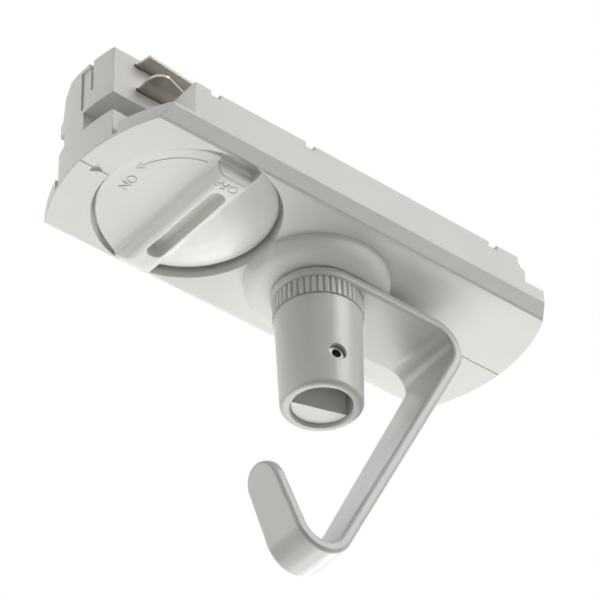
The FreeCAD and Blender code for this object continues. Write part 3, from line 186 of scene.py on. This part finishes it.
def finishPiece(piece, name, body, slot, smooth, weighted=False):
    # place goes into the mesh, then the piece gets its name, finish and body
    selectOnly(piece)
    bpy.ops.object.transform_apply(location=True, rotation=True, scale=True)
    for modifier in list(piece.modifiers):
        bpy.ops.object.modifier_apply(modifier=modifier.name)
    if smooth:
        bpy.ops.object.shade_smooth_by_angle(angle=math.radians(smooth))
    if weighted:
        even = piece.modifiers.new("even", "WEIGHTED_NORMAL")
        even.mode = "FACE_AREA_WITH_ANGLE"
        even.keep_sharp = True
        bpy.ops.object.modifier_apply(modifier=even.name)
    piece.name = name
    piece.data.name = name
    piece.data.materials.clear()
    piece.data.materials.append(materials[slot])
    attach(piece, body)
    print("made", name, len(piece.data.polygons), "faces")


# solids traced, turned and drawn out, with their sizes in mm

def tracedLine(name, corners):
    # a plane is merged to one corner, and the line is drawn on from it corner by corner
    nothingSelected()
    bpy.ops.mesh.primitive_plane_add(size=mm, location=corners[0])
    piece = bpy.context.object
    piece.name = name
    bpy.ops.object.mode_set(mode="EDIT")
    bpy.ops.mesh.select_all(action="SELECT")
    bpy.ops.mesh.merge(type="CENTER")
    for before, after in zip(corners, corners[1:]):
        step = Vector(after) - Vector(before)
        bpy.ops.mesh.extrude_region_move(TRANSFORM_OT_translate={"value": step})
    return piece


def closeSolid():
    bpy.ops.mesh.select_all(action="SELECT")
    bpy.ops.mesh.remove_doubles(threshold=mergeGap)
    bpy.ops.mesh.normals_make_consistent(inside=False)
    bpy.ops.object.mode_set(mode="OBJECT")
    bpy.ops.object.transform_apply(location=True, rotation=True, scale=True)


def turnedSolid(name, profile, centre, steps):
    # profile in radius and height, spun once round an upright axis
    piece = tracedLine(name, [(centre.x + r * mm, centre.y, z * mm) for r, z in profile])
    bpy.ops.mesh.select_all(action="SELECT")
    bpy.ops.mesh.spin(steps=steps, angle=math.tau, center=centre, axis=(0, 0, 1))
    closeSolid()
    return piece


def drawnSolid(name, outline, place, across, up, along):
    # outline in two directions, filled and drawn out along a third
    across, up, along = Vector(across), Vector(up), Vector(along)
    corners = [Vector(place) + across * (a * mm) + up * (b * mm) for a, b in outline]
    piece = tracedLine(name, corners + [corners[0]])
    bpy.ops.mesh.select_all(action="SELECT")
    bpy.ops.mesh.remove_doubles(threshold=mergeGap)
    bpy.ops.mesh.edge_face_add()
    bpy.ops.mesh.extrude_region_move(TRANSFORM_OT_translate={"value": along * mm})
    closeSolid()
    return piece


def joinSolid(piece, other, operation):
    selectOnly(piece)
    change = piece.modifiers.new(operation.lower(), "BOOLEAN")
    change.operation = operation
    change.solver = "MANIFOLD"
    change.object = other
    bpy.ops.object.modifier_apply(modifier=change.name)
    bpy.data.objects.remove(other)


def softenSolid(piece, grain, rounds):
    # even small faces, then smoothed, so that each moulded edge is rounded
    selectOnly(piece)
    even = piece.modifiers.new("even", "REMESH")
    even.mode = "VOXEL"
    even.voxel_size = grain * mm
    soft = piece.modifiers.new("soft", "SMOOTH")
    soft.factor = 0.5
    soft.iterations = rounds
    for modifier in list(piece.modifiers):
        bpy.ops.object.modifier_apply(modifier=modifier.name)


# copies of CAD nodes

def copyNode(node, name, flat):
    # a CAD node's mesh is loose triangles, so its copy is merged first
    # faces that meet within the flat angle then become one
    source = frame["nodes"][node]
    piece = bpy.data.objects.new(name, source.data.copy())
    bpy.context.collection.objects.link(piece)
    selectOnly(piece)
    bpy.ops.object.mode_set(mode="EDIT")
    bpy.ops.mesh.select_all(action="SELECT")
    bpy.ops.mesh.remove_doubles(threshold=mergeGap)
    bpy.ops.mesh.dissolve_limited(angle_limit=math.radians(flat))
    bpy.ops.object.mode_set(mode="OBJECT")
    return piece


def cutAcross(place, normal):
    bpy.ops.mesh.select_all(action="SELECT")
    bpy.ops.mesh.bisect(plane_co=place, plane_no=normal)


def moveCorners(piece, chosen, step):
    # in edit mode, the corners that a test picks are moved together
    bpy.ops.mesh.select_all(action="DESELECT")
    bpy.ops.object.mode_set(mode="OBJECT")
    picked = [corner for corner in piece.data.vertices if chosen(corner.co / mm)]
    for corner in picked:
        corner.select = True
    bpy.ops.object.mode_set(mode="EDIT")
    if picked:
        bpy.ops.transform.translate(value=Vector(step) * mm)


# the housing, with a seam line round its side wall and a groove along each long bevel

housingLines = {
    "flatAngle": 1.2,
    "smoothAngle": 28,
    "seamHeight": 7.30,
    "seamStep": 0.06,  # height over which the wall steps in
    "seamSink": 0.16,
    "wallFace": 17.3,
    "grooveEdge": 15.42,
    "grooveWidth": 0.34,
    "grooveDepth": 0.20,
    "grooveTop": 1.0,  # the groove is cut in what lies below this height
    "nearGap": 0.02,
}


def makeHousing():
    lines = housingLines
    housing = copyNode("base_shell", "housing_shell", lines["flatAngle"])
    bpy.ops.object.mode_set(mode="EDIT")
    bpy.ops.mesh.select_mode(type="VERT")
    seamTop = lines["seamHeight"] + lines["seamStep"]
    for height in (lines["seamHeight"], seamTop):
        cutAcross((0, 0, height * mm), (0, 0, 1))
    edge, width, near = lines["grooveEdge"], lines["grooveWidth"], lines["nearGap"]
    for side in (-1, 1):
        for y in (edge, edge + width / 2, edge + width):
            cutAcross((0, side * y * mm, 0), (0, 1, 0))
    for side in (-1, 1):
        moveCorners(housing, lambda p: side * p.y > lines["wallFace"] and p.z > seamTop - near / 2,
                    (0, -side * lines["seamSink"], 0))
        moveCorners(housing, lambda p: abs(side * p.y - edge - width / 2) < near and p.z < lines["grooveTop"],
                    (0, 0, lines["grooveDepth"]))
    bpy.ops.object.mode_set(mode="OBJECT")
    finishPiece(housing, "housing_shell", "housing", "housing_plastic", lines["smoothAngle"], weighted=True)
    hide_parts("base_shell")


makeHousing()


# the hook and the cord grip, with rounded edges

softCopies = {
    "hook_strip": {"node": "hook", "body": "hook", "slot": "satin_paint", "edge": 0.28},
    "grip_sleeve": {"node": "cord_grip", "body": "grip", "slot": "satin_paint", "edge": 0.22},
}

softEdge = {
    "flatAngle": 0.5,
    "edgeAngle": 24,  # edges sharper than this are rounded
    "edgeSteps": 3,
    "smoothAngle": 50,
}


def makeSoftCopy(name, copy):
    piece = copyNode(copy["node"], name, softEdge["flatAngle"])
    soft = piece.modifiers.new("soft", "BEVEL")
    soft.width = copy["edge"] * mm
    soft.segments = softEdge["edgeSteps"]
    soft.limit_method = "ANGLE"
    soft.angle_limit = math.radians(softEdge["edgeAngle"])
    finishPiece(piece, name, copy["body"], copy["slot"], softEdge["smoothAngle"], weighted=True)
    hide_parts(copy["node"])


for name, copy in softCopies.items():
    makeSoftCopy(name, copy)


# the dial: a domed half, a scooped half and a grip bar with a coin slot

dialCentre = Vector((-27.2 * mm, 0.0, 0.0))

dialShape = {
    # turned round the dial's axis, in radius and height
    "dome": [(0.0, -2.02), (3.0, -1.93), (6.0, -1.66), (9.0, -1.03), (11.0, -0.40), (12.6, 0.28),
             (13.8, 0.92), (14.6, 1.45), (14.9, 1.75), (14.9, 3.3), (0.0, 3.3)],
    "barEnd": [(0.0, -2.08), (12.3, -2.08), (13.1, -1.92), (13.8, -1.50), (14.5, -0.90), (15.1, -0.38),
               (15.5, -0.12), (15.56, 0.10), (15.56, 1.5), (0.0, 1.5)],
    "floorDisc": [(0.0, -0.3), (14.9, -0.3), (14.9, 3.3), (0.0, 3.3)],
    "socket": [(0.0, 1.3), (3.0, 1.3), (3.0, 5.0), (0.0, 5.0)],
    # drawn out along the bar, in x and height from the axis
    "barSection": [(-3.55, -2.08), (1.7, -2.08), (2.3, -1.90), (4.3, 0.75), (4.3, 2.4), (-3.55, 2.4)],
    "floorSide": [(-17.0, -1.0), (-3.55, -1.0), (-3.55, 4.0), (-17.0, 4.0)],
    "scoop": [(-1.60, -2.30), (-1.9, -2.06), (-2.4, -1.92), (-2.8, -1.66), (-3.15, -1.25), (-3.5, -0.74),
              (-3.95, -0.28), (-4.5, 0.02), (-5.3, 0.25), (-6.5, 0.46), (-8.0, 0.63), (-10.0, 0.82),
              (-12.5, 1.04), (-17.0, 1.42), (-17.0, -5.0), (-1.60, -5.0)],
    "sectionLength": 40,
    # drawn out across the bar, in y and height
    "pocket": [(-12.55, -2.7), (-13.1, 0.30), (-13.4, 0.34), (-13.5, 1.9), (-17.0, 1.9), (-17.0, -5.0),
               (-12.55, -5.0)],
    "pocketSides": (-3.93, 3.17),
    "slot": {"half": 7.8, "middle": 0.35, "radius": 1.5, "floor": 0.15, "reach": 5, "endSteps": 20},
    "turnSteps": 144,
    "grain": 0.17,
    "rounds": 3,
    "smoothAngle": 70,
}


def turnedDial(name):
    return turnedSolid(name, dialShape[name], dialCentre, dialShape["turnSteps"])


def drawnDial(name):
    # it starts half its length before the axis, so that it passes right through the dial
    length = dialShape["sectionLength"]
    start = dialCentre - Vector((0, length / 2 * mm, 0))
    return drawnSolid(name, dialShape[name], start, (1, 0, 0), (0, 0, 1), (0, length, 0))


def slotCutter():
    slot = dialShape["slot"]
    radius, middle, steps = slot["radius"], slot["middle"], slot["endSteps"]
    turns = [math.radians(180.0 / steps * k) for k in range(steps + 1)]
    far = [(radius * math.cos(t), middle + slot["half"] + radius * math.sin(t)) for t in turns]
    near = [(-x, 2 * middle - y) for x, y in far]
    place = dialCentre + Vector((0, 0, slot["floor"] * mm))
    return drawnSolid("slot", far + near, place, (1, 0, 0), (0, 1, 0), (0, 0, -slot["reach"]))


def pocketCutter():
    low, high = dialShape["pocketSides"]
    place = dialCentre + Vector((low * mm, 0, 0))
    return drawnSolid("pocket", dialShape["pocket"], place, (0, 1, 0), (0, 0, 1), (high - low, 0, 0))


def makeDial():
    dial = turnedDial("dome")
    bar = drawnDial("barSection")
    joinSolid(bar, turnedDial("barEnd"), "INTERSECT")
    joinSolid(dial, bar, "UNION")
    floor = turnedDial("floorDisc")
    joinSolid(floor, drawnDial("floorSide"), "INTERSECT")
    joinSolid(dial, floor, "UNION")
    joinSolid(dial, drawnDial("scoop"), "DIFFERENCE")
    joinSolid(dial, pocketCutter(), "DIFFERENCE")
    joinSolid(dial, slotCutter(), "DIFFERENCE")
    joinSolid(dial, turnedDial("socket"), "DIFFERENCE")
    softenSolid(dial, dialShape["grain"], dialShape["rounds"])
    finishPiece(dial, "dial_cap", "dial", "dial_plastic", dialShape["smoothAngle"])
    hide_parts("dial_knob")
    return dial


dialPiece = makeDial()


# raised lettering and a turning arrow on the dial

lettering = {
    "size": 2.35,
    "rise": 0.10,
    "sink": 0.02,
    "mergeGap": 0.01,
    "stroke": -0.012,
    "words": {
        "dial_word_on": {"text": "ON", "x": -11.55, "y": 0.45, "turn": -90.0},
        "dial_word_off": {"text": "OFF", "x": -0.30, "y": -10.95, "turn": 0.0},
    },
}

arrow = {
    "radius": 12.6,
    "start": 200.5,
    "turn": 47.0,
    "steps": 28,
    "width": 0.34,
    "pointTurn": 3.2,  # the point stands this far before the line's start
    "pointRadius": 0.95,
    "pointWidth": 0.26,
}


def surfaceUnder(x, y):
    # height of the dial's face above a point, found by a ray from 50 mm below
    hit, place = dialPiece.ray_cast(Vector((x, y, -50 * mm)), Vector((0, 0, 1)))[:2]
    return place.z if hit else 0.0


def raiseOnDial(piece, name):
    # a flat outline gets its height and then follows the dial's face
    selectOnly(piece)
    bpy.ops.object.mode_set(mode="EDIT")
    bpy.ops.mesh.select_all(action="SELECT")
    bpy.ops.mesh.remove_doubles(threshold=lettering["mergeGap"] * mm)
    bpy.ops.mesh.extrude_region_move(TRANSFORM_OT_translate={"value": (0, 0, -lettering["rise"] * mm)})
    bpy.ops.object.mode_set(mode="OBJECT")
    for corner in [v.co for v in piece.data.vertices]:
        corner.z += surfaceUnder(corner.x, corner.y) + lettering["sink"] * mm
    bpy.ops.object.mode_set(mode="EDIT")
    bpy.ops.mesh.select_all(action="SELECT")
    bpy.ops.mesh.normals_make_consistent(inside=False)
    bpy.ops.object.mode_set(mode="OBJECT")
    finishPiece(piece, name, "dial", "dial_plastic", smooth=0)


def makeWord(name, word):
    nothingSelected()
    bpy.ops.object.text_add(location=(0, 0, 0))
    piece = bpy.context.object
    piece.data.body = word["text"]
    piece.data.size = lettering["size"] * mm
    piece.data.align_x = "CENTER"
    piece.data.align_y = "CENTER"
    piece.data.resolution_u = 4
    piece.data.offset = lettering["stroke"] * mm
    bpy.ops.object.convert(target="MESH")
    piece = bpy.context.object
    # read from below, so the letters face downwards
    piece.matrix_world = (Matrix.Translation((dialCentre.x + word["x"] * mm, word["y"] * mm, 0.0))
                          @ Matrix.Rotation(math.radians(word["turn"]), 4, "Z")
                          @ Matrix.Rotation(math.pi, 4, "Y"))
    bpy.ops.object.transform_apply(location=True, rotation=True, scale=True)
    raiseOnDial(piece, name)


def onDial(radius, angle):
    return (dialCentre.x + radius * mm * math.cos(angle), radius * mm * math.sin(angle), 0.0)


def makeArrowLine():
    low = arrow["radius"] - arrow["width"] / 2
    start = math.radians(arrow["start"])
    line = tracedLine("line", [onDial(low, start), onDial(low + arrow["width"], start)])
    bpy.ops.mesh.select_all(action="SELECT")
    # with no window, spin turns against the angle's sign
    bpy.ops.mesh.spin(steps=arrow["steps"], angle=-math.radians(arrow["turn"]),
                      center=dialCentre, axis=(0, 0, 1))
    bpy.ops.object.mode_set(mode="OBJECT")
    bpy.ops.object.transform_apply(location=True, rotation=True, scale=True)
    raiseOnDial(line, "dial_arrow_line")


def makeArrowPoint():
    nothingSelected()
    start = math.radians(arrow["start"])
    tip = onDial(arrow["radius"], start - math.radians(arrow["pointTurn"]))
    bpy.ops.mesh.primitive_circle_add(vertices=3, radius=arrow["pointRadius"] * mm, fill_type="NGON",
                                      location=tip, rotation=(0, 0, start + math.pi))
    point = bpy.context.object
    bpy.ops.object.transform_apply(location=True, rotation=True, scale=True)
    bpy.ops.object.mode_set(mode="EDIT")
    bpy.ops.mesh.select_all(action="SELECT")
    bpy.ops.mesh.inset(thickness=arrow["pointWidth"] * mm)
    bpy.ops.mesh.delete(type="FACE")  # the middle goes, so the point is hollow
    bpy.ops.object.mode_set(mode="OBJECT")
    raiseOnDial(point, "dial_arrow_point")


for name, word in lettering["words"].items():
    makeWord(name, word)
makeArrowLine()
makeArrowPoint()


# light, floor and camera, in metres

stageSet = {
    "floorDrop": 0.60,
    "floorSize": 6.0,
    "floorColour": (0.82, 0.82, 0.81, 1.0),
    "floorRough": 0.9,
    "floorGlow": 0.86,
    "worldLight": 0.05,
    "lampTarget": (0.0, 0.0, -0.01),
    "lamps": {
        "keyLamp": {"place": (0.42, 0.36, -0.50), "size": 0.55, "power": 2.15},
        "lowLamp": {"place": (0.10, 0.50, -0.55), "size": 0.55, "power": 2.9},
        "sheenLamp": {"place": (0.57, 0.46, -0.14), "size": 0.40, "power": 1.5},
        "nearLamp": {"place": (0.55, -0.35, -0.45), "size": 0.50, "power": 0.8},
        "endLamp": {"place": (-0.65, 0.10, 0.10), "size": 0.50, "power": 1.2},
        "leftLamp": {"place": (-0.60, 0.52, 0.00), "size": 0.50, "power": 1.5},
        "sideLamp": {"place": (0.25, -0.60, 0.25), "size": 0.50, "power": 3.0},
        "gripLamp": {"place": (0.21, -0.58, 0.51), "size": 0.10, "power": 0.25},
        "topLamp": {"place": (-0.10, 0.05, 0.80), "size": 0.60, "power": 2.6},
    },
}

viewpoint = {
    "place": (-220.77 * mm, -252.33 * mm, -285.15 * mm),
    "azimuth": -40.69,
    "elevation": 39.99,
    "roll": -2.07,
    "lens": 158.4,
    "sensor": 36.0,
    "clipStart": 0.01,
}


def makeLamps():
    target = Vector(stageSet["lampTarget"])
    for name, lamp in stageSet["lamps"].items():
        nothingSelected()
        bpy.ops.object.light_add(type="AREA", location=lamp["place"])
        light = bpy.context.object
        light.name = name
        light.data.shape = "SQUARE"
        light.data.size = lamp["size"]
        light.data.energy = lamp["power"]
        light.rotation_euler = (target - light.location).to_track_quat("-Z", "Y").to_euler()


def makeWorld():
    world = bpy.data.worlds.new("studio")
    world.use_nodes = True
    bpy.context.scene.world = world
    tree = world.node_tree
    tree.nodes.clear()
    start = Wire(tree, None)
    seen = start.node("ShaderNodeLightPath", output="Is Camera Ray")
    for ray in ("Is Glossy Ray", "Is Transmission Ray"):
        seen = start.maths("MAXIMUM", seen, start.node("ShaderNodeLightPath", output=ray))
    strength = stageSet["worldLight"] + seen * (1.0 - stageSet["worldLight"])  # white where it is seen
    back = start.node("ShaderNodeBackground", inputs={"Color": (1.0, 1.0, 1.0, 1.0), "Strength": strength})
    out = tree.nodes.new("ShaderNodeOutputWorld")
    tree.links.new(back.socket, out.inputs["Surface"])


def makeFloor():
    nothingSelected()
    bpy.ops.mesh.primitive_plane_add(size=stageSet["floorSize"], location=(0, 0, -stageSet["floorDrop"]))
    floor = bpy.context.object
    floor.name = "floor"
    material = bpy.data.materials.new("floorPaper")
    material.use_nodes = True
    tree = material.node_tree
    shader = tree.nodes["Principled BSDF"]
    shader.inputs["Base Color"].default_value = stageSet["floorColour"]
    shader.inputs["Roughness"].default_value = stageSet["floorRough"]
    # pale where the camera sees it, so that no more light falls on the object
    glow = Wire(tree, None).node("ShaderNodeLightPath", output="Is Camera Ray") * stageSet["floorGlow"]
    tree.links.new(glow.socket, shader.inputs["Emission Color"])
    shader.inputs["Emission Strength"].default_value = 1.0
    floor.data.materials.append(material)


def makeCamera():
    nothingSelected()
    bpy.ops.object.camera_add()
    camera = bpy.context.object
    camera.data.lens = viewpoint["lens"]
    camera.data.sensor_width = viewpoint["sensor"]
    camera.data.clip_start = viewpoint["clipStart"]
    camera.matrix_world = (Matrix.Translation(viewpoint["place"])
                           @ Matrix.Rotation(math.radians(viewpoint["azimuth"]), 4, "Z")
                           @ Matrix.Rotation(math.radians(90.0 + viewpoint["elevation"]), 4, "X")
                           @ Matrix.Rotation(math.radians(viewpoint["roll"]), 4, "Z"))
    bpy.context.scene.camera = camera


makeLamps()
makeWorld()
makeFloor()
makeCamera()
bpy.context.scene.view_settings.view_transform = "Standard"
print("light, floor and camera set")
